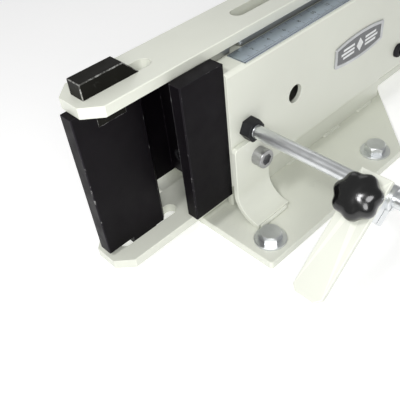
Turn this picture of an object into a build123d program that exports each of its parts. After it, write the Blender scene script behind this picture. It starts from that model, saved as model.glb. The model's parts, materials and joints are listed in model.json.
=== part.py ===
from build123d import *
import math
import os

os.makedirs("parts", exist_ok=True)

# Bench-mounted horizontal press brake for flat bar. Millimetres, +Z up.
# X runs along the press: the punch end is at -X, the rear crosshead at +X.
# Origin: centre of the four bench bolts, on the underside of the base plate.

# ---- driving dimensions ----
BASE_T = 8.0
BASE_HALF_W = 110.0
BOLT_X = 82.0
BOLT_Y = 90.0
BOLT_R = 6.0
BOLT_OUT = 25.0

YOKE_W = 50.0
YOKE_T = 9.5
BOTTOM_Z = 10.0
DAYLIGHT = 145.0
TOP_Z = BOTTOM_Z + YOKE_T + DAYLIGHT
TOP_X0 = -192.0
BOTTOM_X0 = -199.0
YOKE_X1 = 292.0
SLOT_W = 14.0
SLOT_X0 = -183.2
SLOT_X1 = -116.0

TUBE_X0 = -79.0
TUBE_X1 = 230.0
TUBE_W = 90.0
TUBE_Z0 = 42.0
TUBE_Z1 = 158.0
TUBE_H = TUBE_Z1 - TUBE_Z0
TUBE_T = 4.5
TUBE_ZC = (TUBE_Z0 + TUBE_Z1) / 2
SIDE_Y = TUBE_W / 2

DIE_X0 = -124.0
DIE_Z0 = 33.0
DIE_Z1 = 167.0
DIE_HALF_W = 42.0
DIE_GAP = 56.0
DIE_WEB_X = -91.0
FAR_LIP_Z1 = 162.0

TOOL_T = 13.5
TOOL_X0 = -197.5
TOOL_NOSE_X = -132.0

RAM_Z = 92.0
RAM_R = 20.0

ROD_X = -58.0
ROD_Z = 98.0
ROD_R = 6.0
ROD_LEN = 181.0
COLLAR_R = 9.8
KNOB_D = 12.5
ARM_W = 25.5
ARM_T = 5.0
ARM_N0 = 11.0
ARM_UP = 9.0
ARM_DOWN = 93.0

PUMP_X0 = 150.0
PUMP_X1 = 215.0
PUMP_Y1 = 85.0
PLUNGER_X = 171.0
PLUNGER_Y = 65.0
LEVER_X = 200.0
LEVER_Z = 171.0
PUMP_Z0 = 80.0
PUMP_Z1 = 136.0
VALVE_Z = 94.0
LEVER_TILT = 32.0


def save(part, name):
    part.label = name
    export_step(part, f"parts/{name}.step")


# ---- base plate: flat, rear corners cut back at 45 degrees ----
with BuildPart() as base_plate:
    with BuildSketch():
        with BuildLine():
            Polyline(
                (-103.5, -BASE_HALF_W),
                (101, -BASE_HALF_W),
                (196, -15),
                (196, 15),
                (101, BASE_HALF_W),
                (-103.5, BASE_HALF_W),
                close=True,
            )
        make_face()
    extrude(amount=BASE_T)
    fillet(base_plate.edges().filter_by(Axis.Z), 3)
    chamfer(base_plate.faces().sort_by(Axis.Z)[-1].edges(), 0.6)
    with Locations((0, 0, 0)):
        with GridLocations(2 * BOLT_X, 2 * BOLT_Y, 2, 2):
            Hole(BOLT_R, depth=2 * BASE_T + 2)
save(base_plate.part, "base_plate")

# ---- bench bolts and washers ----
WASHER_T = 2.5
with BuildPart() as bench_washers:
    with BuildSketch(Plane.XY.offset(BASE_T)):
        with GridLocations(2 * BOLT_X, 2 * BOLT_Y, 2, 2):
            Circle(15)
            Circle(BOLT_R + 0.25, mode=Mode.SUBTRACT)
    extrude(amount=WASHER_T)
    chamfer(bench_washers.faces().sort_by(Axis.Z)[-4:].edges().filter_by(GeomType.CIRCLE), 0.4)
save(bench_washers.part, "bench_washers")

HEAD_Z = BASE_T + WASHER_T
with BuildPart() as bench_bolts:
    with BuildSketch(Plane.XY.offset(HEAD_Z)):
        with GridLocations(2 * BOLT_X, 2 * BOLT_Y, 2, 2):
            RegularPolygon(9.5, 6, major_radius=False, rotation=12)
    extrude(amount=7.8)
    with BuildSketch(Plane.XY.offset(HEAD_Z)):
        with GridLocations(2 * BOLT_X, 2 * BOLT_Y, 2, 2):
            Circle(15.4)
    extrude(amount=7.8, taper=38, mode=Mode.INTERSECT)
    with BuildSketch(Plane.XY.offset(-BOLT_OUT)):
        with GridLocations(2 * BOLT_X, 2 * BOLT_Y, 2, 2):
            Circle(BOLT_R)
    extrude(amount=BOLT_OUT - 0.3)
    chamfer(bench_bolts.faces().sort_by(Axis.Z)[0:4].edges(), 0.8)
    # plain shank inside the plate, a little under the thread's size
    with BuildSketch(Plane.XY.offset(-0.3)):
        with GridLocations(2 * BOLT_X, 2 * BOLT_Y, 2, 2):
            Circle(BOLT_R - 0.2)
    extrude(amount=0.3 + HEAD_Z)
save(bench_bolts.part, "bench_bolts")

# ---- press body: welded rectangular tube ----
with BuildPart() as press_body:
    with BuildSketch(Plane.YZ.offset(TUBE_X0)):
        with Locations((0, TUBE_ZC)):
            RectangleRounded(TUBE_W, TUBE_H, 4.0)
            Rectangle(TUBE_W - 2 * TUBE_T, TUBE_H - 2 * TUBE_T, mode=Mode.SUBTRACT)
    extrude(amount=TUBE_X1 - TUBE_X0)
    # spare rod hole, right through both side walls
    with BuildSketch(Plane.XZ.offset(SIDE_Y + 1)):
        with Locations((6.3, ROD_Z + 0.8)):
            Circle(9)
    extrude(amount=-TUBE_W - 2, mode=Mode.SUBTRACT)
    # stop-rod hole, near wall only
    with BuildSketch(Plane.XZ.offset(SIDE_Y + 1)):
        with Locations((ROD_X, ROD_Z)):
            Circle(ROD_R + 0.05)
    extrude(amount=-TUBE_T - 2, mode=Mode.SUBTRACT)
    # cap-screw holes in both walls
    with BuildSketch(Plane.XZ.offset(SIDE_Y + 1)):
        with Locations((-51.5, 66), (181.5, 66)):
            Circle(6)
    extrude(amount=-TUBE_W - 2, mode=Mode.SUBTRACT)
save(press_body.part, "press_body")

# ---- end plates welded inside the tube ----
with BuildPart() as front_plate:
    with Locations((TUBE_X0, 0, TUBE_ZC)):
        Box(12, TUBE_W - 2 * TUBE_T, TUBE_H - 2 * TUBE_T, align=(Align.MIN, Align.CENTER, Align.CENTER))
    with BuildSketch(Plane.YZ.offset(TUBE_X0 - 1)):
        with Locations((0, TUBE_ZC)):
            with GridLocations(28, 86, 2, 2):
                Circle(4)
    extrude(amount=11, mode=Mode.SUBTRACT)
save(front_plate.part, "front_plate")

with BuildPart() as rear_plate:
    with Locations((TUBE_X1, 0, TUBE_ZC)):
        Box(8, TUBE_W - 2 * TUBE_T, TUBE_H - 2 * TUBE_T, align=(Align.MAX, Align.CENTER, Align.CENTER))
    with BuildSketch(Plane.YZ.offset(TUBE_X1 + 1)):
        with Locations((0, RAM_Z)):
            Circle(24)
    extrude(amount=-10, mode=Mode.SUBTRACT)
save(rear_plate.part, "rear_plate")

with BuildPart() as ram_wiper:
    with BuildSketch(Plane.YZ.offset(TUBE_X1 - 8)):
        with Locations((0, RAM_Z)):
            Circle(24)
            Circle(RAM_R + 0.4, mode=Mode.SUBTRACT)
    extrude(amount=10)
    fillet(ram_wiper.faces().sort_by(Axis.X)[-1].edges(), 1.0)
save(ram_wiper.part, "ram_wiper")

# ---- hydraulic cylinder block inside the tube, and its ram ----
with BuildPart() as cylinder_block:
    with Locations((120, 0, RAM_Z)):
        Box(100, TUBE_W - 2 * TUBE_T - 0.2, 80, align=(Align.MIN, Align.CENTER, Align.CENTER))
    fillet(cylinder_block.edges().filter_by(Axis.X), 5)
    with BuildSketch(Plane.YZ.offset(221)):
        with Locations((0, RAM_Z)):
            Circle(RAM_R + 0.05)
    extrude(amount=-91, mode=Mode.SUBTRACT)
    with BuildSketch(Plane.XZ.offset(SIDE_Y)):
        with Locations((181.5, 66)):
            Circle(6)
    extrude(amount=-16, mode=Mode.SUBTRACT)
    with BuildSketch(Plane.XZ.offset(-SIDE_Y)):
        with Locations((181.5, 66)):
            Circle(6)
    extrude(amount=16, mode=Mode.SUBTRACT)
save(cylinder_block.part, "cylinder_block")

with BuildPart() as ram:
    with Locations((152, 0, RAM_Z)):
        Cylinder(RAM_R, 110, rotation=(0, 90, 0), align=(Align.CENTER, Align.CENTER, Align.MIN))
    chamfer(ram.edges().sort_by(Axis.X)[0], 1.5)
save(ram.part, "ram")

# ---- ear brackets: vertical leg, wide bend, short foot welded to the base ----
EAR_T = 5.0
EAR_R = 28.0
EAR_TAB = 0.8
EAR_TOP = 86.5
EAR_X0 = -80.0
EAR_W = 43.0


def ear_bracket(side):
    """side -1 is the near side (-Y), side +1 the far side (+Y)."""
    y0 = side * SIDE_Y
    y1 = side * (SIDE_Y + EAR_T)
    r_in = EAR_R - EAR_T
    zc = BASE_T + EAR_R
    yc = side * (SIDE_Y + EAR_R)
    s = math.sqrt(0.5)
    with BuildPart() as ear:
        with BuildSketch(Plane.YZ.offset(EAR_X0)):
            with BuildLine():
                Line((y0, EAR_TOP), (y0, zc))
                ThreePointArc((y0, zc), (yc - side * EAR_R * s, zc - EAR_R * s), (yc, BASE_T))
                Line((yc, BASE_T), (yc + side * EAR_TAB, BASE_T))
                Line((yc + side * EAR_TAB, BASE_T), (yc + side * EAR_TAB, BASE_T + EAR_T))
                Line((yc + side * EAR_TAB, BASE_T + EAR_T), (yc, BASE_T + EAR_T))
                ThreePointArc((yc, BASE_T + EAR_T), (yc - side * r_in * s, zc - r_in * s), (y1, zc))
                Line((y1, zc), (y1, EAR_TOP))
                Line((y1, EAR_TOP), (y0, EAR_TOP))
            make_face()
        extrude(amount=EAR_W)
        with BuildSketch(Plane.XZ.offset(-side * SIDE_Y + 10)):
            with Locations((-51.5, 66)):
                Circle(6)
        extrude(amount=-20, mode=Mode.SUBTRACT)
        top = ear.faces().sort_by(Axis.Z)[-1]
        fillet(top.edges().filter_by(Axis.Y), 4)
    return ear.part


save(ear_bracket(-1), "ear_bracket_near")
save(ear_bracket(1), "ear_bracket_far")

# ---- side rails that carry the tube above the base, one each side of the yoke ----
RAIL_X0 = -72.0
RAIL_X1 = 172.0
with BuildPart() as side_rails:
    with Locations(((RAIL_X0 + RAIL_X1) / 2, -30.5, BASE_T), ((RAIL_X0 + RAIL_X1) / 2, 30.5, BASE_T)):
        Box(
            RAIL_X1 - RAIL_X0,
            7,
            TUBE_Z0 - BASE_T,
            align=(Align.CENTER, Align.CENTER, Align.MIN),
        )
    chamfer(side_rails.edges().filter_by(Axis.Z), 1.0)
save(side_rails.part, "side_rails")

# ---- guide blocks under the tube, just clear of the yoke's bottom plate ----
GUIDE_Z0 = BOTTOM_Z + YOKE_T + 0.3
with BuildPart() as guide_blocks:
    with Locations((-45, 0, GUIDE_Z0), (75, 0, GUIDE_Z0)):
        Box(30, 44, TUBE_Z0 - GUIDE_Z0, align=(Align.CENTER, Align.CENTER, Align.MIN))
    chamfer(guide_blocks.faces().sort_by(Axis.Z)[0:2].edges().filter_by(Axis.Y), 1.5)
save(guide_blocks.part, "guide_blocks")

# ---- female die: two lips joined by a web, open toward the punch ----
with BuildPart() as female_die:
    with Locations((DIE_X0, 0, (DIE_Z0 + DIE_Z1) / 2)):
        Box(
            TUBE_X0 - DIE_X0,
            2 * DIE_HALF_W,
            DIE_Z1 - DIE_Z0,
            align=(Align.MIN, Align.CENTER, Align.CENTER),
        )
    with Locations((DIE_X0 - 1, 0, (DIE_Z0 + DIE_Z1) / 2)):
        Box(
            DIE_WEB_X - DIE_X0 + 1,
            DIE_GAP,
            DIE_Z1 - DIE_Z0 + 2,
            align=(Align.MIN, Align.CENTER, Align.CENTER),
            mode=Mode.SUBTRACT,
        )
    # the far lip stays below the yoke's top plate
    with Locations((DIE_X0 - 1, DIE_GAP / 2 - 1, DIE_Z1)):
        Box(60, 20, DIE_Z1 - FAR_LIP_Z1, align=(Align.MIN, Align.MIN, Align.MAX), mode=Mode.SUBTRACT)
    # web stops short of both yoke plates
    with Locations((DIE_WEB_X - 1, 0, DIE_Z1)):
        Box(20, DIE_GAP, 9.4, align=(Align.MIN, Align.CENTER, Align.MAX), mode=Mode.SUBTRACT)
    with Locations((DIE_WEB_X - 1, 0, DIE_Z0)):
        Box(20, DIE_GAP, 4, align=(Align.MIN, Align.CENTER, Align.MIN), mode=Mode.SUBTRACT)
    lips = female_die.edges().filter_by(Axis.Z).group_by(Axis.X)[0]
    fillet(lips.filter_by(lambda e: abs(e.center().Y) < 30), 3)
    lips = female_die.edges().filter_by(Axis.Z).group_by(Axis.X)[0]
    chamfer(lips.filter_by(lambda e: abs(e.center().Y) > 40), 0.8)
    with BuildSketch(Plane.YZ.offset(DIE_WEB_X)):
        with Locations((0, TUBE_ZC)):
            with GridLocations(28, 86, 2, 2):
                Circle(6.8)
    extrude(amount=8, mode=Mode.SUBTRACT)
    with BuildSketch(Plane.YZ.offset(DIE_WEB_X)):
        with Locations((0, TUBE_ZC)):
            with GridLocations(28, 86, 2, 2):
                Circle(4.2)
    extrude(amount=14, mode=Mode.SUBTRACT)
save(female_die.part, "female_die")

with BuildPart() as die_screws:
    with BuildSketch(Plane.YZ.offset(DIE_WEB_X)):
        with Locations((0, TUBE_ZC)):
            with GridLocations(28, 86, 2, 2):
                Circle(6.5)
    extrude(amount=8)
    with BuildSketch(Plane.YZ.offset(DIE_WEB_X)):
        with Locations((0, TUBE_ZC)):
            with GridLocations(28, 86, 2, 2):
                Circle(4)
    extrude(amount=21)
    with BuildSketch(Plane.YZ.offset(DIE_WEB_X)):
        with Locations((0, TUBE_ZC)):
            with GridLocations(28, 86, 2, 2):
                RegularPolygon(3, 6, major_radius=False)
    extrude(amount=4, mode=Mode.SUBTRACT)
save(die_screws.part, "die_screws")


# ---- M12 socket-head cap screws through the ears ----
CAP_HEAD = 10.5


def socket_screw(x, z, side, seat):
    """One cap screw along Y; its head sits on the face |y| = seat."""
    p = Plane(origin=(x, side * seat, z), x_dir=(1, 0, 0), z_dir=(0, side, 0))
    with BuildPart() as screw:
        with BuildSketch(p):
            Circle(9)
        extrude(amount=CAP_HEAD)
        fillet(screw.faces().sort_by(Axis((0, 0, 0), (0, side, 0)))[-1].edges(), 0.8)
        with BuildSketch(p):
            Circle(6)
        extrude(amount=-(seat - 31))
        with BuildSketch(p.offset(CAP_HEAD)):
            RegularPolygon(5, 6, major_radius=False)
        extrude(amount=-6, mode=Mode.SUBTRACT)
    return screw.part


cap_list = [
    socket_screw(-51.5, 66, -1, SIDE_Y + EAR_T),
    socket_screw(-51.5, 66, 1, SIDE_Y + EAR_T),
]
save(Compound(children=cap_list), "cap_screws")


# ---- button-head screws that hold the cylinder block in the tube ----
def cylinder_screw(side):
    p = Plane(origin=(181.5, side * SIDE_Y, 66), x_dir=(1, 0, 0), z_dir=(0, side, 0))
    with BuildPart() as screw:
        with BuildSketch(p):
            Circle(7.5)
        extrude(amount=4.5)
        fillet(screw.faces().sort_by(Axis((0, 0, 0), (0, side, 0)))[-1].edges(), 2.5)
        with BuildSketch(p):
            Circle(6)
        extrude(amount=-14)
        with BuildSketch(p.offset(4.5)):
            RegularPolygon(3, 6, major_radius=False)
        extrude(amount=-3.5, mode=Mode.SUBTRACT)
    return screw.part


save(Compound(children=[cylinder_screw(-1), cylinder_screw(1)]), "cylinder_screws")

# ---- yoke plates ----
def yoke_plate(x0, z0, slots):
    """Flat bar with chamfered corners; slots is a list of (start, end)."""
    with BuildPart() as plate:
        with BuildSketch(Plane.XY.offset(z0)):
            with BuildLine():
                Polyline(
                    (x0, -YOKE_W / 2 + 13.5),
                    (x0 + 14.5, -YOKE_W / 2),
                    (YOKE_X1 - 14.5, -YOKE_W / 2),
                    (YOKE_X1, -YOKE_W / 2 + 13.5),
                    (YOKE_X1, YOKE_W / 2 - 13.5),
                    (YOKE_X1 - 14.5, YOKE_W / 2),
                    (x0 + 14.5, YOKE_W / 2),
                    (x0, YOKE_W / 2 - 13.5),
                    close=True,
                )
            make_face()
            for a, b in slots:
                with Locations(((a + b) / 2, 0)):
                    SlotOverall(b - a, SLOT_W, mode=Mode.SUBTRACT)
            with Locations((277, 0)):
                with GridLocations(14, 28, 2, 2):
                    Circle(5.2, mode=Mode.SUBTRACT)
        extrude(amount=YOKE_T)
        outer = plate.edges().filter_by(lambda e: abs(abs(e.center().Y) - YOKE_W / 2) < 0.1)
        chamfer(outer.filter_by(Axis.X), 0.6)
    return plate.part


save(yoke_plate(TOP_X0, TOP_Z, [(SLOT_X0, SLOT_X1), (-24, 43), (136, 203)]), "yoke_top_plate")
save(yoke_plate(BOTTOM_X0, BOTTOM_Z, [(SLOT_X0, SLOT_X1)]), "yoke_bottom_plate")

with BuildPart() as crosshead:
    with Locations((262, 0, BOTTOM_Z + YOKE_T)):
        Box(30, YOKE_W - 4, DAYLIGHT, align=(Align.MIN, Align.CENTER, Align.MIN))
    chamfer(crosshead.edges().filter_by(Axis.Z), 2)
    with BuildSketch(Plane.XY.offset(TOP_Z)):
        with Locations((277, 0)):
            with GridLocations(14, 28, 2, 2):
                Circle(5)
    extrude(amount=-22, mode=Mode.SUBTRACT)
    with BuildSketch(Plane.XY.offset(BOTTOM_Z + YOKE_T)):
        with Locations((277, 0)):
            with GridLocations(14, 28, 2, 2):
                Circle(5)
    extrude(amount=22, mode=Mode.SUBTRACT)
save(crosshead.part, "crosshead")


def button_screw(x, y, z, up):
    """M10 button-head screw along Z; up is +1 on the top plate, -1 below."""
    p = Plane(origin=(x, y, z), x_dir=(1, 0, 0), z_dir=(0, 0, up))
    with BuildPart() as screw:
        with BuildSketch(p):
            Circle(6.6)
        extrude(amount=5)
        fillet(screw.faces().sort_by(Axis((0, 0, 0), (0, 0, up)))[-1].edges(), 2.4)
        with BuildSketch(p):
            Circle(5)
        extrude(amount=-30)
        with BuildSketch(p.offset(5)):
            RegularPolygon(3, 6, major_radius=False)
        extrude(amount=-3, mode=Mode.SUBTRACT)
    return screw.part


button_list = []
for bx in (270, 284):
    for by in (-14, 14):
        button_list.append(button_screw(bx, by, TOP_Z + YOKE_T, 1))
        button_list.append(button_screw(bx, by, BOTTOM_Z, -1))
save(Compound(children=button_list), "crosshead_screws")

# ---- slide pads under the top plate, riding on the tube ----
PAD_Z0 = TUBE_Z1 + 0.3
with BuildPart() as slide_pads:
    with BuildSketch(Plane.XY.offset(PAD_Z0)):
        with Locations((-64, -18), (-64, 18)):
            Rectangle(24, 10)
        with Locations((20, -18), (20, 18)):
            RectangleRounded(120, 10, 4)
    extrude(amount=TOP_Z - PAD_Z0)
save(slide_pads.part, "slide_pads")

# ---- punch bar: stands between the yoke plates, nose toward the die ----
PUNCH_Z0 = BOTTOM_Z + YOKE_T
PUNCH_Z1 = TOP_Z - 0.3
with BuildPart() as punch_bar:
    with BuildSketch(Plane.XZ):
        with BuildLine():
            Polyline(
                (TOOL_X0, 24),
                (-170.5, 24),
                (-170.5, PUNCH_Z0),
                (TOOL_NOSE_X, PUNCH_Z0),
                (TOOL_NOSE_X, PUNCH_Z1),
                (-150, PUNCH_Z1),
                (-150, 147),
                (-176.4, 147),
                (-176.4, PUNCH_Z1),
                (TOOL_X0, PUNCH_Z1),
                close=True,
            )
        make_face()
    extrude(amount=TOOL_T / 2, both=True)
    # tongue that drops into the bottom plate's slot
    with Locations((-157, 0, BOTTOM_Z + 1)):
        Box(24, TOOL_T, PUNCH_Z0 - BOTTOM_Z, align=(Align.CENTER, Align.CENTER, Align.MIN))
    nose = punch_bar.edges().filter_by(Axis.Z).group_by(Axis.X)[-1]
    chamfer(nose, 4.0)
    fillet(punch_bar.edges().filter_by(Axis.Z).group_by(Axis.X)[-1], 1.2)
    chamfer(punch_bar.edges().filter_by(Axis.Z).group_by(Axis.X)[0], 0.5)
save(punch_bar.part, "punch_bar")

# ---- drop-in key: through the top plate's slot into the punch bar's notch ----
KEY_Z = TOP_Z + YOKE_T
KEY_TOP = KEY_Z + 13.2
KEY_W = 16.0
with BuildPart() as punch_key:
    with BuildSketch(Plane.XZ):
        with BuildLine():
            Polyline(
                (-184.0, KEY_Z + 0.05),
                (-132.5, KEY_Z + 0.05),
                (-145.0, KEY_TOP),
                (-184.0, KEY_TOP),
                close=True,
            )
        make_face()
    extrude(amount=KEY_W / 2, both=True)
    fillet(punch_key.edges().filter_by(Axis.Y).group_by(Axis.Z)[-1], 0.8)
    chamfer(punch_key.edges().filter_by(Axis.X).group_by(Axis.Z)[-1], 0.5)
    # tongue through the slot and down into the punch bar
    with Locations((-176.3, 0, 147.05)):
        Box(
            26.2,
            TOOL_T,
            KEY_Z + 0.06 - 147.05,
            align=(Align.MIN, Align.CENTER, Align.MIN),
        )
save(punch_key.part, "punch_key")

# ---- travel scale on top of the tube ----
with BuildPart() as travel_scale:
    with Locations((-57, -34.4, TUBE_Z1)):
        Box(230, 20.2, 1.0, align=(Align.MIN, Align.CENTER, Align.MIN))
    fillet(travel_scale.edges().filter_by(Axis.Z), 1.0)
save(travel_scale.part, "travel_scale")

# ---- side badge: plain barrel-shaped plate with a raised rim ----
BADGE_X = 104.0
BADGE_Z = 106.5

def barrel(half_w, end_h, mid_h):
    """Straight ends with bowed top and bottom, centred on the badge position."""
    x0 = BADGE_X - half_w
    x1 = BADGE_X + half_w
    Line((x0, BADGE_Z - end_h), (x0, BADGE_Z + end_h))
    ThreePointArc((x0, BADGE_Z + end_h), (BADGE_X, BADGE_Z + mid_h), (x1, BADGE_Z + end_h))
    Line((x1, BADGE_Z + end_h), (x1, BADGE_Z - end_h))
    ThreePointArc((x1, BADGE_Z - end_h), (BADGE_X, BADGE_Z - mid_h), (x0, BADGE_Z - end_h))


with BuildPart() as badge:
    with BuildSketch(Plane.XZ.offset(SIDE_Y)):
        with BuildLine():
            barrel(40, 10, 14.2)
        make_face()
    extrude(amount=1.4)
    fillet(badge.edges().filter_by(Axis.Y), 2.5)
    with BuildSketch(Plane.XZ.offset(SIDE_Y + 1.4)):
        with BuildLine():
            barrel(36.4, 7.4, 11.0)
        make_face()
    extrude(amount=-0.5, mode=Mode.SUBTRACT)
save(badge.part, "badge")

# ---- back-stop rod and its jam nut ----
with BuildPart() as stop_rod:
    with BuildSketch(Plane.XZ.offset(36)):
        with Locations((ROD_X, ROD_Z)):
            Circle(ROD_R)
    extrude(amount=ROD_LEN)
    chamfer(stop_rod.edges().filter_by(GeomType.CIRCLE), 0.8)
save(stop_rod.part, "stop_rod")

with BuildPart() as jam_nut:
    with BuildSketch(Plane.XZ.offset(SIDE_Y)):
        with Locations((ROD_X, ROD_Z)):
            RegularPolygon(9.2, 6, major_radius=False, rotation=4)
    extrude(amount=10)
    nut_cone = Plane(origin=(ROD_X, -SIDE_Y, ROD_Z), x_dir=(1, 0, 0), z_dir=(0, -1, 0))
    with BuildSketch(nut_cone):
        Circle(15.3)
    extrude(amount=10, taper=28, mode=Mode.INTERSECT)
    with BuildSketch(Plane.XZ.offset(SIDE_Y)):
        with Locations((ROD_X, ROD_Z)):
            Circle(ROD_R)
    extrude(amount=10, mode=Mode.SUBTRACT)
save(jam_nut.part, "jam_nut")

# ---- stop clamp, arm and knob ----
# The clamp frame: t along the rod (+Y), d down the arm, n out of the arm's face.
ARM_N = Vector(-0.629, 0, 0.777).normalized()
ARM_D = Vector(-0.777, 0, -0.629).normalized()
ROD_PT = Vector(ROD_X, 0, ROD_Z)


def arm_plane(y, d, n):
    """Sketch plane facing out of the arm; sketch X is +Y, sketch Y is down the arm."""
    return Plane(origin=Vector(0, y, 0) + ROD_PT + ARM_D * d + ARM_N * n, x_dir=(0, 1, 0), z_dir=ARM_N)


def clamp_section(y):
    """Sketch plane across the rod; sketch X runs down the arm, sketch Y is out of its face."""
    return Plane(origin=(ROD_X, y, ROD_Z), x_dir=ARM_D, z_dir=ARM_D.cross(ARM_N))


CLAMP_Y = -172.3
with BuildPart() as stop_clamp:
    # collar on the rod
    with BuildSketch(clamp_section(CLAMP_Y)):
        Circle(COLLAR_R)
    extrude(amount=16)
    with BuildSketch(clamp_section(CLAMP_Y)):
        Circle(COLLAR_R)
    extrude(amount=-16)
    chamfer(stop_clamp.edges().filter_by(GeomType.CIRCLE).group_by(Axis.Y)[0], 0.8)
    chamfer(stop_clamp.edges().filter_by(GeomType.CIRCLE).group_by(Axis.Y)[-1], 0.8)
    # split clamp block under the arm
    with BuildSketch(clamp_section(CLAMP_Y)):
        with Locations((9.5, 0)):
            Rectangle(25, 2 * ARM_N0)
    extrude(amount=12.5, both=True)
    fillet(stop_clamp.edges().filter_by(Axis.Y).sort_by(Axis(ROD_PT, ARM_D))[-2:], 3)
    # bore, slit and clamp-screw hole
    with BuildSketch(clamp_section(CLAMP_Y)):
        Circle(ROD_R + 0.06)
    extrude(amount=60, both=True, mode=Mode.SUBTRACT)
    with BuildSketch(clamp_section(CLAMP_Y)):
        with Locations((14, 0)):
            Rectangle(28, 1.6)
    extrude(amount=60, both=True, mode=Mode.SUBTRACT)
    with BuildSketch(arm_plane(CLAMP_Y, KNOB_D, -12)):
        Circle(4.05)
    extrude(amount=30, mode=Mode.SUBTRACT)
save(stop_clamp.part, "stop_clamp")

with BuildPart() as stop_arm:
    with BuildSketch(arm_plane(CLAMP_Y, 0, ARM_N0)):
        with BuildLine():
            Polyline(
                (-ARM_W / 2, -ARM_UP),
                (ARM_W / 2, -ARM_UP),
                (ARM_W / 2, ARM_DOWN - 4),
                (ARM_W / 2 - 4, ARM_DOWN),
                (-ARM_W / 2 + 5, ARM_DOWN),
                (-ARM_W / 2, ARM_DOWN - 5),
                close=True,
            )
        make_face()
        with Locations((0, KNOB_D)):
            Circle(4.4, mode=Mode.SUBTRACT)
    extrude(amount=ARM_T)
    chamfer(stop_arm.faces().sort_by(Axis(ROD_PT, ARM_N))[-1].edges(), 0.5)
save(stop_arm.part, "stop_arm")

ARM_TOP = ARM_N0 + ARM_T
with BuildPart() as knob_screw:
    with BuildSketch(arm_plane(CLAMP_Y, KNOB_D, -ARM_N0 - 1.5)):
        Circle(4)
    extrude(amount=ARM_N0 + 1.5 + ARM_TOP + 9)
    with BuildSketch(arm_plane(CLAMP_Y, KNOB_D, ARM_TOP + 0.3)):
        Circle(6)
    extrude(amount=2.2)
save(knob_screw.part, "knob_screw")

with BuildPart() as clamp_knob:
    with BuildSketch(arm_plane(CLAMP_Y, KNOB_D, ARM_TOP + 2.5)):
        Circle(8)
    extrude(amount=6)
    with BuildSketch(arm_plane(CLAMP_Y, KNOB_D, ARM_TOP + 6)):
        Circle(16.4)
        with PolarLocations(12.9, 7):
            Circle(5.4)
    extrude(amount=10)
    rim = clamp_knob.faces().sort_by(Axis(ROD_PT, ARM_N))[-1]
    fillet(rim.edges(), 1.6)
    with BuildSketch(arm_plane(CLAMP_Y, KNOB_D, ARM_TOP + 15.9)):
        Circle(14.6)
    extrude(amount=4.5, taper=52)
    fillet(clamp_knob.faces().sort_by(Axis(ROD_PT, ARM_N))[-1].edges(), 1.5)
    with BuildSketch(arm_plane(CLAMP_Y, KNOB_D, ARM_TOP)):
        Circle(4)
    extrude(amount=9, mode=Mode.SUBTRACT)
save(clamp_knob.part, "clamp_knob")

# ---- hand pump on the far wall ----
with BuildPart() as pump_block:
    with Locations((PUMP_X0, SIDE_Y, PUMP_Z0)):
        Box(
            PUMP_X1 - PUMP_X0,
            PUMP_Y1 - SIDE_Y,
            PUMP_Z1 - PUMP_Z0,
            align=(Align.MIN, Align.MIN, Align.MIN),
        )
    fillet(pump_block.edges().filter_by(Axis.Z), 3)
    for ey in (PLUNGER_Y - 9, PLUNGER_Y + 9):
        with BuildSketch(Plane.XZ.offset(-(ey - 3))):
            with BuildLine():
                Polyline(
                    (LEVER_X - 10, PUMP_Z1 - 1),
                    (LEVER_X + 10, PUMP_Z1 - 1),
                    (LEVER_X + 8, LEVER_Z),
                    (LEVER_X - 8, LEVER_Z),
                    close=True,
                )
            make_face()
            with Locations((LEVER_X, LEVER_Z)):
                Circle(8)
        extrude(amount=-6)
    with BuildSketch(Plane.XZ.offset(-SIDE_Y)):
        with Locations((LEVER_X, LEVER_Z)):
            Circle(4)
    extrude(amount=-45, mode=Mode.SUBTRACT)
    # plunger bore
    with BuildSketch(Plane.XY.offset(PUMP_Z1 + 1)):
        with Locations((PLUNGER_X, PLUNGER_Y)):
            Circle(8.05)
    extrude(amount=-45, mode=Mode.SUBTRACT)
    # release-valve bore
    with BuildSketch(Plane.YZ.offset(PUMP_X1 + 1)):
        with Locations((PLUNGER_Y, VALVE_Z)):
            Circle(4.05)
    extrude(amount=-21, mode=Mode.SUBTRACT)
    # filler hole
    with BuildSketch(Plane.XY.offset(PUMP_Z1 + 1)):
        with Locations((183, PLUNGER_Y - 12)):
            Circle(4)
    extrude(amount=-11, mode=Mode.SUBTRACT)
    # mounting-screw holes
    with BuildSketch(Plane.XZ.offset(-PUMP_Y1 - 1)):
        with Locations((157, 88), (208, 128), (157, 128)):
            Circle(3.5)
    extrude(amount=38, mode=Mode.SUBTRACT)
save(pump_block.part, "pump_block")


def pump_screw(x, z):
    """M7-size cap screw on the pump block's outer face."""
    p = Plane(origin=(x, PUMP_Y1, z), x_dir=(1, 0, 0), z_dir=(0, 1, 0))
    with BuildPart() as screw:
        with BuildSketch(p):
            Circle(5.6)
        extrude(amount=6)
        fillet(screw.faces().sort_by(Axis.Y)[-1].edges(), 0.6)
        with BuildSketch(p):
            Circle(3.5)
        extrude(amount=-36)
        with BuildSketch(p.offset(6)):
            RegularPolygon(2.6, 6, major_radius=False)
        extrude(amount=-3.5, mode=Mode.SUBTRACT)
    return screw.part


save(Compound(children=[pump_screw(157, 88), pump_screw(208, 128), pump_screw(157, 128)]), "pump_screws")

with BuildPart() as filler_plug:
    with BuildSketch(Plane.XY.offset(PUMP_Z1)):
        with Locations((183, PLUNGER_Y - 12)):
            RegularPolygon(5.5, 6, major_radius=False)
    extrude(amount=5)
    with BuildSketch(Plane.XY.offset(PUMP_Z1)):
        with Locations((183, PLUNGER_Y - 12)):
            Circle(4)
    extrude(amount=-9)
save(filler_plug.part, "filler_plug")

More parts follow.
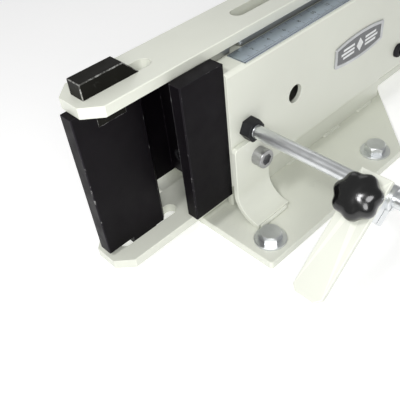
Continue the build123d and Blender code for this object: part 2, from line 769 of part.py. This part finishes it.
with BuildPart() as plunger:
    with BuildSketch(Plane.XY.offset(104)):
        with Locations((PLUNGER_X, PLUNGER_Y)):
            Circle(8)
    extrude(amount=48)
    # flat tongue and cross pin at the top
    with Locations((PLUNGER_X, PLUNGER_Y, 150)):
        Box(12, 5, 27, align=(Align.CENTER, Align.CENTER, Align.MIN))
    with BuildSketch(Plane.XZ.offset(-(PLUNGER_Y - 9))):
        with Locations((PLUNGER_X, LEVER_Z)):
            Circle(3)
    extrude(amount=-18)
save(plunger.part, "plunger")

with BuildPart() as lever_pin:
    with BuildSketch(Plane.XZ.offset(-(PLUNGER_Y - 14))):
        with Locations((LEVER_X, LEVER_Z)):
            Circle(4)
    extrude(amount=-28)
    chamfer(lever_pin.edges().filter_by(GeomType.CIRCLE), 0.6)
save(lever_pin.part, "lever_pin")

# ---- pump lever: forked toward the plunger, socket toward the rear ----
lt = math.radians(LEVER_TILT)
lever_dir = (math.cos(lt), 0, math.sin(lt))
socket_plane = Plane(
    origin=(LEVER_X + 10 * math.cos(lt), PLUNGER_Y, LEVER_Z + 10 * math.sin(lt)),
    x_dir=(0, 1, 0),
    z_dir=lever_dir,
)
with BuildPart() as pump_lever:
    with BuildSketch(Plane.XZ.offset(-(PLUNGER_Y - 5.6))):
        with BuildLine():
            Polyline(
                (PLUNGER_X - 8, LEVER_Z - 7),
                (LEVER_X + 4, LEVER_Z - 8),
                (LEVER_X + 10 + 8 * math.sin(lt), LEVER_Z + 4 - 8 * math.cos(lt)),
                (LEVER_X + 20 - 2, LEVER_Z + 18),
                (LEVER_X - 2, LEVER_Z + 8),
                (PLUNGER_X - 8, LEVER_Z + 7),
                close=True,
            )
        make_face()
        with Locations((LEVER_X, LEVER_Z)):
            Circle(4.05, mode=Mode.SUBTRACT)
        with Locations((PLUNGER_X, LEVER_Z)):
            SlotOverall(12, 7.2, mode=Mode.SUBTRACT)
    extrude(amount=-11.2)
    # fork gap for the plunger's tongue
    with Locations((PLUNGER_X - 9, PLUNGER_Y, LEVER_Z - 14)):
        Box(20, 5.6, 30, align=(Align.MIN, Align.CENTER, Align.MIN), mode=Mode.SUBTRACT)
    with BuildSketch(socket_plane):
        Circle(11)
    extrude(amount=46)
    with BuildSketch(socket_plane.offset(8)):
        Circle(8)
    extrude(amount=40, mode=Mode.SUBTRACT)
save(pump_lever.part, "pump_lever")

with BuildPart() as pump_handle:
    with BuildSketch(socket_plane.offset(8.2)):
        Circle(7.95)
    extrude(amount=210)
save(pump_handle.part, "pump_handle")

with BuildPart() as handle_grip:
    with BuildSketch(socket_plane.offset(130)):
        Circle(12)
    extrude(amount=95)
    fillet(handle_grip.edges().filter_by(GeomType.CIRCLE), 3)
    with BuildSketch(socket_plane.offset(129)):
        Circle(7.95)
    extrude(amount=89.2, mode=Mode.SUBTRACT)
save(handle_grip.part, "handle_grip")

# ---- release valve: stem and knurled knob on the pump's rear face ----
with BuildPart() as release_knob:
    with BuildSketch(Plane.YZ.offset(PUMP_X1 - 18)):
        with Locations((PLUNGER_Y, VALVE_Z)):
            Circle(4)
    extrude(amount=24)
    with BuildSketch(Plane.YZ.offset(PUMP_X1 + 4)):
        with Locations((PLUNGER_Y, VALVE_Z)):
            Circle(11)
            with PolarLocations(11.6, 12):
                Circle(1.6, mode=Mode.SUBTRACT)
    extrude(amount=13)
save(release_knob.part, "release_knob")
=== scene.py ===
import json
import math
import random

import bpy
from mathutils import Matrix, Vector


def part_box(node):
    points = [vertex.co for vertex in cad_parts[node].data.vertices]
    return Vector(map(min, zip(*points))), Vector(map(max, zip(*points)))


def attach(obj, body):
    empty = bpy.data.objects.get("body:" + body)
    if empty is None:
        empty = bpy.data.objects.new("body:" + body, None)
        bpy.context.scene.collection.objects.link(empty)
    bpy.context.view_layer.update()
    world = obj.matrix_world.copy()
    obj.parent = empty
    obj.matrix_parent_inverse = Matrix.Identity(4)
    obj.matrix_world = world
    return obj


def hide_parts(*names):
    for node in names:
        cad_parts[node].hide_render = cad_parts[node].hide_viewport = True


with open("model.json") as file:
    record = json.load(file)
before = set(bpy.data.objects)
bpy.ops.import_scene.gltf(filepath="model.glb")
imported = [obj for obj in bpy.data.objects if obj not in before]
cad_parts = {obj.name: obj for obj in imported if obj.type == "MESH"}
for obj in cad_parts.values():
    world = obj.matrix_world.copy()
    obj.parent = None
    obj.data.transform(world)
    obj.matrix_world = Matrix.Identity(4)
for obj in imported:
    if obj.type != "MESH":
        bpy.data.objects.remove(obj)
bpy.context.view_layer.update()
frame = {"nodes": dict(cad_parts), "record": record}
NODES = frame["nodes"]
JOINTS = {j["name"]: j for j in frame["record"]["behaviour"]["joints"]}
MM = 0.001
random.seed(7)

# ---------------------------------------------------------------- materials


class Nodes:
    """Small helper for building one material's node tree."""

    def __init__(self, name):
        self.mat = bpy.data.materials.new(name)
        self.mat.use_nodes = True
        self.tree = self.mat.node_tree
        self.bsdf = self.tree.nodes["Principled BSDF"]
        self.coord = self.tree.nodes.new("ShaderNodeTexCoord")

    def add(self, kind, **values):
        node = self.tree.nodes.new(kind)
        for key, value in values.items():
            setattr(node, key, value)
        return node

    def link(self, a, b):
        self.tree.links.new(a, b)

    def noise(self, scale, detail=4.0, rough=0.55, stretch=None):
        node = self.add("ShaderNodeTexNoise")
        node.inputs["Scale"].default_value = scale
        node.inputs["Detail"].default_value = detail
        node.inputs["Roughness"].default_value = rough
        source = self.coord.outputs["Object"]
        if stretch:
            mapping = self.add("ShaderNodeMapping")
            mapping.inputs["Scale"].default_value = stretch
            self.link(source, mapping.inputs["Vector"])
            source = mapping.outputs["Vector"]
        self.link(source, node.inputs["Vector"])
        return node.outputs["Fac"]

    def ramp(self, fac, stops):
        node = self.add("ShaderNodeValToRGB")
        ramp = node.color_ramp
        while len(ramp.elements) < len(stops):
            ramp.elements.new(0.5)
        for element, (at, color) in zip(ramp.elements, stops):
            element.position = at
            element.color = (*color, 1.0)
        self.link(fac, node.inputs["Fac"])
        return node.outputs["Color"]

    def spread(self, fac, low, high, f0=0.3, f1=0.7):
        node = self.add("ShaderNodeMapRange")
        node.inputs["From Min"].default_value = f0
        node.inputs["From Max"].default_value = f1
        node.inputs["To Min"].default_value = low
        node.inputs["To Max"].default_value = high
        self.link(fac, node.inputs["Value"])
        return node.outputs["Result"]

    def mix(self, fac, a, b):
        node = self.add("ShaderNodeMix", data_type="RGBA", blend_type="MIX")
        self.link(fac, node.inputs[0])
        for socket, value in ((node.inputs[6], a), (node.inputs[7], b)):
            if isinstance(value, tuple):
                socket.default_value = (*value, 1.0)
            else:
                self.link(value, socket)
        return node.outputs[2]

    def bump(self, height, strength, distance, below=None):
        node = self.add("ShaderNodeBump")
        node.inputs["Strength"].default_value = strength
        node.inputs["Distance"].default_value = distance
        self.link(height, node.inputs["Height"])
        if below:
            self.link(below, node.inputs["Normal"])
        return node.outputs["Normal"]

    def color(self, value):
        if isinstance(value, tuple):
            self.bsdf.inputs["Base Color"].default_value = (*value, 1.0)
        else:
            self.link(value, self.bsdf.inputs["Base Color"])

    def put(self, socket, value):
        if isinstance(value, (int, float)):
            self.bsdf.inputs[socket].default_value = value
        else:
            self.link(value, self.bsdf.inputs[socket])


def shade(color, k):
    return tuple(min(1.0, c * k) for c in color)


def paint(name, color, dust=0.9, pits=0.0):
    """Enamel: slow tone drift, faint grime, orange-peel bump, optional pits."""
    n = Nodes(name)
    drift = n.noise(9.0, 3.0)
    tone = n.ramp(drift, [(0.3, shade(color, 0.955)), (0.7, shade(color, 1.02))])
    grime = n.noise(46.0, 8.0, 0.7)
    mask = n.spread(grime, 0.0, 0.55, 0.62, 0.78)
    n.color(n.mix(mask, tone, shade(color, dust)))
    n.put("Roughness", n.spread(n.noise(60.0, 5.0), 0.36, 0.52))
    n.put("Coat Weight", 0.25)
    n.put("Coat Roughness", 0.26)
    peel = n.bump(n.noise(900.0, 2.0), 0.10, 0.00025)
    if pits:
        spots = n.noise(420.0, 3.0, 0.5)
        peel = n.bump(n.spread(spots, 0.0, -1.0, 0.66, 0.74), pits, 0.0004, peel)
    n.put("Normal", peel)
    return n.mat


def black_oxide(name, base, sheen, worn=0.0):
    """Dark heat-treated tool steel; worn is how much bright steel shows."""
    n = Nodes(name)
    cloud = n.noise(18.0, 6.0, 0.6)
    dark = n.ramp(cloud, [(0.3, shade(base, 0.7)), (0.7, shade(base, 1.35))])
    rub = n.noise(120.0, 8.0, 0.75)
    scuff = n.spread(rub, 0.0, 1.0, 0.66 - worn * 0.34, 0.76 - worn * 0.28)
    n.color(n.mix(scuff, dark, sheen))
    n.put("Metallic", n.spread(scuff, 0.0, 0.8, 0.2, 0.9))
    n.put("Specular IOR Level", 0.10)
    n.put("Roughness", n.spread(n.noise(70.0, 6.0), 0.34, 0.54))
    grain = n.bump(n.noise(700.0, 4.0), 0.16, 0.0003)
    n.put("Normal", grain)
    return n.mat


def metal(name, color, rough=(0.2, 0.36), grain=(1, 1, 1), strength=0.12, spots=0.0):
    """Bare or plated steel with directional machining grain."""
    n = Nodes(name)
    cloud = n.noise(40.0, 5.0)
    tone = n.ramp(cloud, [(0.3, shade(color, 0.86)), (0.7, shade(color, 1.08))])
    if spots:
        stain = n.spread(n.noise(220.0, 6.0, 0.7), 0.0, spots, 0.6, 0.75)
        tone = n.mix(stain, tone, shade(color, 0.45))
    n.color(tone)
    n.put("Metallic", 0.95)
    n.put("Roughness", n.spread(n.noise(90.0, 5.0), *rough))
    n.put("Normal", n.bump(n.noise(260.0, 4.0, 0.6, grain), strength, 0.0002))
    return n.mat


def threaded(name, color, axis, start, end, pitch):
    """Plated steel whose surface is threaded between start and end along one axis, with painted shade
    darkening the thread roots.
    """
    n = Nodes(name)
    tone = n.ramp(n.noise(60.0, 5.0), [(0.3, shade(color, 0.88)), (0.7, shade(color, 1.06))])
    n.put("Metallic", 0.95)
    n.put("Roughness", n.spread(n.noise(90.0, 3.0), 0.27, 0.36))
    split = n.add("ShaderNodeSeparateXYZ")
    n.link(n.coord.outputs["Object"], split.inputs["Vector"])
    along = split.outputs[axis]
    turns = n.add("ShaderNodeMath", operation="MULTIPLY")
    n.link(along, turns.inputs[0])
    turns.inputs[1].default_value = 2 * math.pi / pitch
    wave = n.add("ShaderNodeMath", operation="SINE")
    n.link(turns.outputs[0], wave.inputs[0])
    inside = n.spread(along, 0.0, 1.0, start, start + 0.002)
    outside = n.spread(along, 1.0, 0.0, end - 0.002, end)
    both = n.add("ShaderNodeMath", operation="MULTIPLY")
    n.link(inside, both.inputs[0])
    n.link(outside, both.inputs[1])
    cut = n.add("ShaderNodeMath", operation="MULTIPLY")
    n.link(wave.outputs[0], cut.inputs[0])
    n.link(both.outputs[0], cut.inputs[1])
    # painted shade: colour darkened towards 0.4 in the thread roots, where shadow falls in the grooves
    painted_root_shade = n.spread(cut.outputs[0], 0.55, 0.0, -1.0, 0.2)
    n.color(n.mix(painted_root_shade, tone, shade(color, 0.4)))
    n.put("Normal", n.bump(cut.outputs[0], 0.6, 0.0005))
    return n.mat


def plastic(name, color, rough, grain=0.05, coat=0.4):
    n = Nodes(name)
    n.color(n.ramp(n.noise(30.0), [(0.3, shade(color, 0.85)), (0.7, shade(color, 1.2))]))
    n.put("Roughness", n.spread(n.noise(140.0, 6.0), rough * 0.8, rough * 1.3))
    n.put("Coat Weight", coat)
    n.put("Coat Roughness", 0.08)
    n.put("Normal", n.bump(n.noise(500.0, 3.0), grain, 0.0002))
    return n.mat


CREAM = (0.735, 0.752, 0.665)
MATS = {
    "paint": paint("paint_enamel", CREAM),
    # a lighter copy of the enamel for narrow faces and bevels: a painted highlight along the edges, with
    # darker grime patches
    "paint_edge_highlight": paint("paint_enamel_edge_highlight", shade(CREAM, 1.12), 0.78),
    "paint_tool": paint("paint_enamel_yoke", shade(CREAM, 1.02), 0.8, 0.35),
    "pump": paint("paint_pump", shade(CREAM, 0.97)),
    "zinc": metal("zinc_plate", (0.77, 0.79, 0.80), (0.26, 0.42), (1, 1, 1), 0.06, 0.25),
    "rod": threaded("zinc_rod", (0.80, 0.82, 0.83), 1, -0.057, -0.030, 0.00175),
    "bolt": threaded("zinc_bolt", (0.76, 0.78, 0.79), 2, -0.026, 0.006, 0.00175),
    "steel": metal("plain_steel", (0.46, 0.46, 0.47), (0.28, 0.46), (1, 1, 1), 0.16, 0.4),
    "machined": metal("machined_steel", (0.55, 0.55, 0.55), (0.25, 0.4), (1, 14, 1), 0.2, 0.3),
    "chrome": metal("ram_chrome", (0.80, 0.80, 0.82), (0.06, 0.14), (1, 20, 20), 0.04),
    "pad": metal("pad_steel", (0.42, 0.42, 0.40), (0.32, 0.5), (1, 1, 1), 0.2, 0.5),
    "rule": metal("rule_steel", (0.50, 0.57, 0.65), (0.34, 0.5), (1, 12, 1), 0.06, 0.15),
    "black": black_oxide("tool_black", (0.0030, 0.0021, 0.0034), (0.02, 0.018, 0.022)),
    "black_edge": black_oxide("tool_black_edge", (0.014, 0.012, 0.016), (0.42, 0.42, 0.41), 0.28),
    "black_rim": black_oxide("tool_black_rim", (0.016, 0.014, 0.018), (0.40, 0.40, 0.40), 0.3),
    "black_screw": black_oxide("screw_black", (0.02, 0.02, 0.022), (0.2, 0.2, 0.2), 0.1),
    "key": black_oxide("key_black", (0.007, 0.0065, 0.005), (0.06, 0.06, 0.055), 0.12),
    "key_edge": black_oxide("key_black_edge", (0.06, 0.06, 0.055), (0.50, 0.50, 0.48), 0.6),
    "knob": plastic("knob_phenolic", (0.004, 0.004, 0.004), 0.2, 0.01, 0.25),
    "rubber": plastic("grip_rubber", (0.014, 0.014, 0.014), 0.6, 0.3, 0.0),
    "badge_rim": metal("badge_aluminium", (0.60, 0.61, 0.62), (0.3, 0.42), (1, 12, 1), 0.06),
    "badge_field": plastic("badge_grey", (0.10, 0.105, 0.11), 0.35, 0.03),
    "white_ink": plastic("badge_white", (0.75, 0.76, 0.76), 0.35, 0.03),
    "black_ink": plastic("rule_ink", (0.02, 0.02, 0.025), 0.5, 0.03, 0.0),
}


# ------------------------------------------------------- dressing CAD nodes


FLAT_ALONG_AXIS = 0.985  # a face normal nearer an axis than this is a main face
WEAR_OR_HIGHLIGHT_STRIP = 0.9 * MM  # slanted faces narrower than this take the edge material: wear on the tools, a painted highlight on the enamel
MERGE_DISTANCE = 2e-6
MERGE_ANGLE = math.radians(0.4)
BEVEL_SEGMENTS = 2
BEVEL_ANGLE = math.radians(32)


def strip_width(mesh, poly):
    """A slanted triangle's height over its longest side: small on chamfers and fillets."""
    if max(abs(c) for c in poly.normal) > FLAT_ALONG_AXIS:
        return 1.0
    points = [mesh.vertices[i].co for i in poly.vertices]
    longest = max((a - b).length for a, b in zip(points, points[1:] + points[:1]))
    return 2 * poly.area / longest if longest else 0.0


def dress(node, body_mat, edge_mat, width):
    """Materials, narrow faces in the edge material (bare-steel wear on the tools, a painted highlight on the
    enamel) and an eased edge, width in mm, for a CAD node.
    """
    obj = NODES[node]
    mesh = obj.data
    mesh.materials.clear()
    mesh.materials.append(MATS[body_mat])
    if edge_mat:
        mesh.materials.append(MATS[edge_mat])
    for poly in mesh.polygons:
        # narrow faces take the edge material; on the enamel nodes that is a painted highlight
        worn = edge_mat and strip_width(mesh, poly) < WEAR_OR_HIGHLIGHT_STRIP
        poly.material_index = 1 if worn else 0
        poly.use_smooth = True
    if "custom_normal" in mesh.attributes:
        mesh.attributes.remove(mesh.attributes["custom_normal"])
    weld = obj.modifiers.new("weld", "WELD")
    weld.merge_threshold = MERGE_DISTANCE
    merge = obj.modifiers.new("merge_flat", "DECIMATE")
    merge.decimate_type = "DISSOLVE"
    merge.angle_limit = MERGE_ANGLE
    merge.delimit = {"MATERIAL"}
    if width:
        ease = obj.modifiers.new("ease", "BEVEL")
        ease.width = width * MM
        ease.segments = BEVEL_SEGMENTS
        ease.limit_method = "ANGLE"
        ease.angle_limit = BEVEL_ANGLE
        ease.harden_normals = False
        if edge_mat:
            ease.material = 1
    flow = obj.modifiers.new("flow", "WEIGHTED_NORMAL")
    flow.weight = 100


DRESS = {  # node: body material, edge material (bare-steel wear on the tools, a painted highlight on the enamel, ink on the rule), bevel width in mm
    "base_plate": ("paint_tool", "paint_edge_highlight", 0.6),
    "press_body": ("paint", "paint_edge_highlight", 0.5),
    "ear_bracket_near": ("paint", "paint_edge_highlight", 0.7),
    "ear_bracket_far": ("paint", "paint_edge_highlight", 0.7),
    "side_rails": ("paint", "paint_edge_highlight", 0.5),
    "guide_blocks": ("paint", "paint_edge_highlight", 0.5),
    "front_plate": ("machined", None, 0.3),
    "rear_plate": ("paint", "paint_edge_highlight", 0.3),
    "crosshead": ("paint_tool", "paint_edge_highlight", 0.6),
    "yoke_top_plate": ("paint_tool", "paint_edge_highlight", 0.7),
    "yoke_bottom_plate": ("paint_tool", "paint_edge_highlight", 0.7),
    "stop_arm": ("paint", "paint_edge_highlight", 0.6),
    "female_die": ("black", "black_rim", 0.9),
    "punch_bar": ("black", "black_edge", 0.6),
    "punch_key": ("key", "key_edge", 0.8),
    "die_screws": ("black_screw", None, 0.2),
    "cap_screws": ("steel", None, 0.3),
    "cylinder_screws": ("black_screw", None, 0.2),
    "crosshead_screws": ("black_screw", None, 0.2),
    "pump_screws": ("black_screw", None, 0.2),
    "bench_bolts": ("bolt", None, 0.35),
    "bench_washers": ("zinc", None, 0.2),
    "slide_pads": ("pad", None, 0.3),
    "travel_scale": ("rule", "black_ink", 0.25),
    "badge": ("badge_rim", None, 0.2),
    "stop_rod": ("rod", None, 0.2),
    "jam_nut": ("black_screw", None, 0.3),
    "stop_clamp": ("zinc", None, 0.35),
    "knob_screw": ("zinc", None, 0.2),
    "cylinder_block": ("machined", None, 0.5),
    "ram": ("chrome", None, 0.3),
    "ram_wiper": ("rubber", None, 0.0),
    "pump_block": ("pump", "paint_edge_highlight", 0.6),
    "filler_plug": ("steel", None, 0.3),
    "plunger": ("chrome", None, 0.3),
    "lever_pin": ("steel", None, 0.2),
    "pump_lever": ("pump", "paint_edge_highlight", 0.5),
    "pump_handle": ("zinc", None, 0.3),
    "handle_grip": ("rubber", None, 0.0),
    "release_knob": ("black_screw", None, 0.3),
}
for node, (body_mat, edge_mat, width) in DRESS.items():
    dress(node, body_mat, edge_mat, width)

# ---------------------------------------------------------------- new pieces


def mesh_object(name, verts, faces, mat, body, smooth=False):
    mesh = bpy.data.meshes.new(name)
    mesh.from_pydata([tuple(v) for v in verts], [], faces)
    mesh.validate()
    mesh.update()
    obj = bpy.data.objects.new(name, mesh)
    bpy.context.scene.collection.objects.link(obj)
    mesh.materials.append(MATS[mat])
    for poly in mesh.polygons:
        poly.use_smooth = smooth
    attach(obj, body)
    return obj


def slab(points, low, high, verts, faces, place):
    """Adds one closed prism to verts and faces; place maps (a, b, c) to the row frame."""
    base = len(verts)
    count = len(points)
    for level in (low, high):
        verts.extend(place(a, b, level) for a, b in points)
    faces.append(tuple(base + i for i in reversed(range(count))))
    faces.append(tuple(base + count + i for i in range(count)))
    for i in range(count):
        j = (i + 1) % count
        faces.append((base + i, base + j, base + count + j, base + count + i))


# star knob: a seven-lobed domed form on the knob's own axis
knob = JOINTS["knob_turn"]
KNOB_AT = Vector(knob["pos_m"])
KNOB_N = Vector(knob["axis"]).normalized()
KNOB_U = Vector((0, 1, 0))
KNOB_V = KNOB_N.cross(KNOB_U)
LOBES = 7
KNOB_PROFILE = [  # height above the joint, radius, share of the lobe depth
    (18.5, 7.2, 0.0),
    (18.5, 7.9, 0.0),
    (21.6, 8.2, 0.0),
    (22.0, 11.0, 0.3),
    (22.0, 15.4, 0.9),
    (22.7, 16.7, 1.0),
    (24.2, 17.2, 1.0),
    (28.0, 17.2, 1.0),
    (30.4, 16.6, 1.0),
    (32.4, 15.2, 0.92),
    (34.0, 12.8, 0.7),
    (35.2, 9.4, 0.35),
    (36.0, 5.4, 0.1),
    (36.3, 1.8, 0.0),
]
KNOB_STEPS = LOBES * 24
LOBE_DEPTH = 0.95
LOBE_FLATTEN = 0.1


def knob_point(height, radius, share, step):
    turn = 2 * math.pi * step / KNOB_STEPS
    lobe = math.cos(LOBES * turn)
    reach = radius + share * (LOBE_DEPTH * lobe - LOBE_FLATTEN * lobe * lobe)
    spoke = KNOB_U * math.cos(turn) + KNOB_V * math.sin(turn)
    return KNOB_AT + KNOB_N * height * MM + spoke * reach * MM


verts = [knob_point(h, r, s, i) for h, r, s in KNOB_PROFILE for i in range(KNOB_STEPS)]
faces = []
for ring in range(len(KNOB_PROFILE) - 1):
    for i in range(KNOB_STEPS):
        j = (i + 1) % KNOB_STEPS
        a, b = ring * KNOB_STEPS, (ring + 1) * KNOB_STEPS
        faces.append((a + i, a + j, b + j, b + i))
verts.append(KNOB_AT + KNOB_N * KNOB_PROFILE[0][0] * MM)
verts.append(KNOB_AT + KNOB_N * KNOB_PROFILE[-1][0] * MM)
last = (len(KNOB_PROFILE) - 1) * KNOB_STEPS
for i in range(KNOB_STEPS):
    j = (i + 1) % KNOB_STEPS
    faces.append((len(verts) - 2, j, i))
    faces.append((len(verts) - 1, last + i, last + j))
star = mesh_object("star_knob", verts, faces, "knob", "knob", smooth=True)
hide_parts("clamp_knob")

# rule: raised-ink divisions along both edges, longer at every fifth
lo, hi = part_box("travel_scale")
verts, faces = [], []


def on_top(x, y, z):
    return Vector((x, y, hi[2] + z * MM))


DIVISION = 2 * MM
LONG_MARK = 6.5
SHORT_MARK = 3.6
FAR_EDGE_SHORTER = 1.6
MARK_HALF = 0.16 * MM
MARK_INSET = 0.3 * MM
NUMBER_SIZE = 5.2 * MM
NUMBER_SHIFT = 0.6 * MM
NUMBER_DEPTH = 0.00001
NUMBER_LIFT = 0.00002

count = int(round((hi[0] - lo[0]) / DIVISION))
for k in range(1, count):
    x = lo[0] + k * 2 * MM
    length = LONG_MARK if k % 5 == 0 else SHORT_MARK
    near = (lo[1] + MARK_INSET, lo[1] + length * MM)
    far = (hi[1] - (length - FAR_EDGE_SHORTER) * MM, hi[1] - MARK_INSET)
    x0, x1 = x - MARK_HALF, x + MARK_HALF
    for y0, y1 in (near, far):
        box = [(x0, y0), (x1, y0), (x1, y1), (x0, y1)]
        slab(box, -0.01, 0.03, verts, faces, on_top)
mesh_object("rule_divisions", verts, faces, "black_ink", "frame")

for k in range(10, count, 10):
    text = bpy.data.curves.new(f"rule_number_{k}", "FONT")
    text.body = str(k // 5)
    text.size = NUMBER_SIZE
    text.align_x = "CENTER"
    text.align_y = "CENTER"
    text.extrude = NUMBER_DEPTH
    label = bpy.data.objects.new(f"rule_number_{k}", text)
    bpy.context.scene.collection.objects.link(label)
    middle = (lo[1] + hi[1]) / 2
    label.location = (lo[0] + k * 2 * MM, middle + NUMBER_SHIFT, hi[2] + NUMBER_LIFT)
    text.materials.append(MATS["black_ink"])
    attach(label, "frame")

# badge: grey field in the recess, with a plain diamond and three bars on each side
lo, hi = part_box("badge")
cx, cz = (lo[0] + hi[0]) / 2, (lo[2] + hi[2]) / 2


def on_badge(x, z, y):
    return Vector((cx + x * MM, lo[1] - y * MM + 0.5 * MM, cz + z * MM))


def barrel(half_w, end_h, mid_h, steps=24):
    """Outline with straight ends and bowed long sides."""
    rise = mid_h - end_h
    radius = (half_w * half_w + rise * rise) / (2 * rise)
    pts = []
    for i in range(steps + 1):
        x = -half_w + 2 * half_w * i / steps
        pts.append((x, end_h + math.sqrt(radius * radius - x * x) - (radius - rise)))
    return pts + [(-x, -z) for x, z in pts]


BAR_START = 9
BAR_HALF = 1.2
verts, faces = [], []
slab(barrel(36.0, 7.1, 10.6), -0.05, 0.12, verts, faces, on_badge)
mesh_object("badge_panel", verts, faces, "badge_field", "frame")
verts, faces = [], []
slab([(-5.5, 0), (0, -7), (5.5, 0), (0, 7)], 0.05, 0.24, verts, faces, on_badge)
for side in (-1, 1):
    for row, reach in ((4.0, 27), (0, 30), (-4.0, 27)):
        x0, x1 = side * BAR_START, side * reach
        z0, z1 = row - BAR_HALF, row + BAR_HALF
        bar = [(x0, z0), (x1, z0), (x1, z1), (x0, z1)]
        slab(bar, 0.05, 0.2, verts, faces, on_badge)
mesh_object("badge_device", verts, faces, "white_ink", "frame")

# weld beads, painted over: rippled half-round runs along the joints


BEAD_STEP = 0.4 * MM
BEAD_AROUND = 12
RIPPLE = 0.10
WANDER = 0.03


def weld_bead(name, start, end, radius):
    """Swept bead with a ripple every four steps and a slightly wandering edge."""
    start, end = Vector(start), Vector(end)
    along = (end - start).normalized()
    side = along.cross(Vector((0, 0, 1))).normalized()
    up = side.cross(along)
    steps = max(8, int((end - start).length / BEAD_STEP))
    verts, faces = [], []
    for i in range(steps + 1):
        at = start + (end - start) * i / steps
        taper = min(1.0, 0.35 + 0.2 * min(i, steps - i))
        ripple = 1.0 + RIPPLE * math.cos(2 * math.pi * i / 4) + random.uniform(-WANDER, WANDER)
        reach = radius * MM * taper * ripple
        for k in range(BEAD_AROUND):
            a = 2 * math.pi * k / BEAD_AROUND
            verts.append(at + side * reach * math.cos(a) + up * reach * 0.8 * math.sin(a))
    for i in range(steps):
        for k in range(BEAD_AROUND):
            m = (k + 1) % BEAD_AROUND
            a, b = i * BEAD_AROUND, (i + 1) * BEAD_AROUND
            faces.append((a + k, a + m, b + m, b + k))
    faces.append(tuple(range(BEAD_AROUND - 1, -1, -1)))
    faces.append(tuple(steps * BEAD_AROUND + k for k in range(BEAD_AROUND)))
    mesh_object(name, verts, faces, "paint", "frame", smooth=True)


INSET = 3 * MM
EAR_BEAD_LIFT = 1.5 * MM
EAR_BEAD_RADIUS = 2.4
RAIL_BEAD_LENGTH = 28 * MM
RAIL_BEAD_RADIUS = 2.6
for side, ear in ((0, "ear_bracket_near"), (1, "ear_bracket_far")):
    lo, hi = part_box(ear)
    y = (lo, hi)[side][1]
    z = lo[2] + EAR_BEAD_LIFT
    weld_bead(f"weld_{ear}", (lo[0] + INSET, y, z), (hi[0] - INSET, y, z), EAR_BEAD_RADIUS)
lo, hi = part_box("side_rails")
for side, y in (("near", lo[1]), ("far", hi[1])):
    for k in range(4):
        x = lo[0] + (hi[0] - lo[0]) * (0.08 + 0.25 * k)
        weld_bead(f"weld_rail_{side}_{k}", (x, y, lo[2]), (x + RAIL_BEAD_LENGTH, y, lo[2]), RAIL_BEAD_RADIUS)

# -------------------------------------------------------- floor, light, lens


def floor_material():
    n = Nodes("studio_floor")
    n.color(n.ramp(n.noise(3.0), [(0.3, (0.93, 0.93, 0.93)), (0.7, (0.95, 0.95, 0.95))]))
    n.put("Roughness", 0.8)
    n.put("Emission Strength", 0.3)
    n.bsdf.inputs["Emission Color"].default_value = (1.0, 1.0, 1.0, 1.0)
    return n.mat


FLOOR_HALF = 30
FLOOR_Z = -0.0005
corners = ((-1, -1), (1, -1), (1, 1), (-1, 1))
mesh = bpy.data.meshes.new("floor")
mesh.from_pydata([(a * FLOOR_HALF, b * FLOOR_HALF, FLOOR_Z) for a, b in corners], [], [(0, 1, 2, 3)])
floor = bpy.data.objects.new("floor", mesh)
bpy.context.scene.collection.objects.link(floor)
mesh.materials.append(floor_material())


def area_light(name, at, target, size, energy):
    data = bpy.data.lights.new(name, "AREA")
    data.shape = "DISK"
    data.size = size
    data.energy = energy
    light = bpy.data.objects.new(name, data)
    light.location = at
    light.rotation_euler = (Vector(target) - Vector(at)).to_track_quat("-Z", "Y").to_euler()
    bpy.context.scene.collection.objects.link(light)


CENTRE = (0.0, 0.0, 0.1)
SKY_STRENGTH = 0.37
area_light("key", (-0.80, -0.10, 1.02), CENTRE, 0.24, 4.4)
area_light("fill", (-0.44, -0.46, 0.46), (-0.10, -0.03, 0.1), 0.32, 2.3)
area_light("back", (0.9, 1.1, 1.3), CENTRE, 1.0, 2)

world = bpy.data.worlds.new("studio")
world.use_nodes = True
background = world.node_tree.nodes["Background"]
background.inputs["Color"].default_value = (1.0, 1.0, 1.0, 1.0)
background.inputs["Strength"].default_value = SKY_STRENGTH
bpy.context.scene.world = world
bpy.context.scene.view_settings.view_transform = "Standard"

CAMERA_AT = Vector((-0.3431, -0.3213, 0.3814))
CAMERA_RIGHT = Vector((0.7169, -0.6904, -0.0968)).normalized()
CAMERA_LOOK = Vector((0.4624, 0.5748, -0.6751)).normalized()
SENSOR_WIDTH = 36
FOCAL_LENGTH = 50.44
CAMERA_UP = CAMERA_RIGHT.cross(CAMERA_LOOK).normalized()
lens = bpy.data.cameras.new("camera")
lens.sensor_width = SENSOR_WIDTH
lens.lens = FOCAL_LENGTH
lens.clip_start = 0.01
camera = bpy.data.objects.new("camera", lens)
turn = Matrix((CAMERA_RIGHT, CAMERA_UP, -CAMERA_LOOK)).transposed().to_4x4()
camera.matrix_world = Matrix.Translation(CAMERA_AT) @ turn
bpy.context.scene.collection.objects.link(camera)
bpy.context.scene.camera = camera
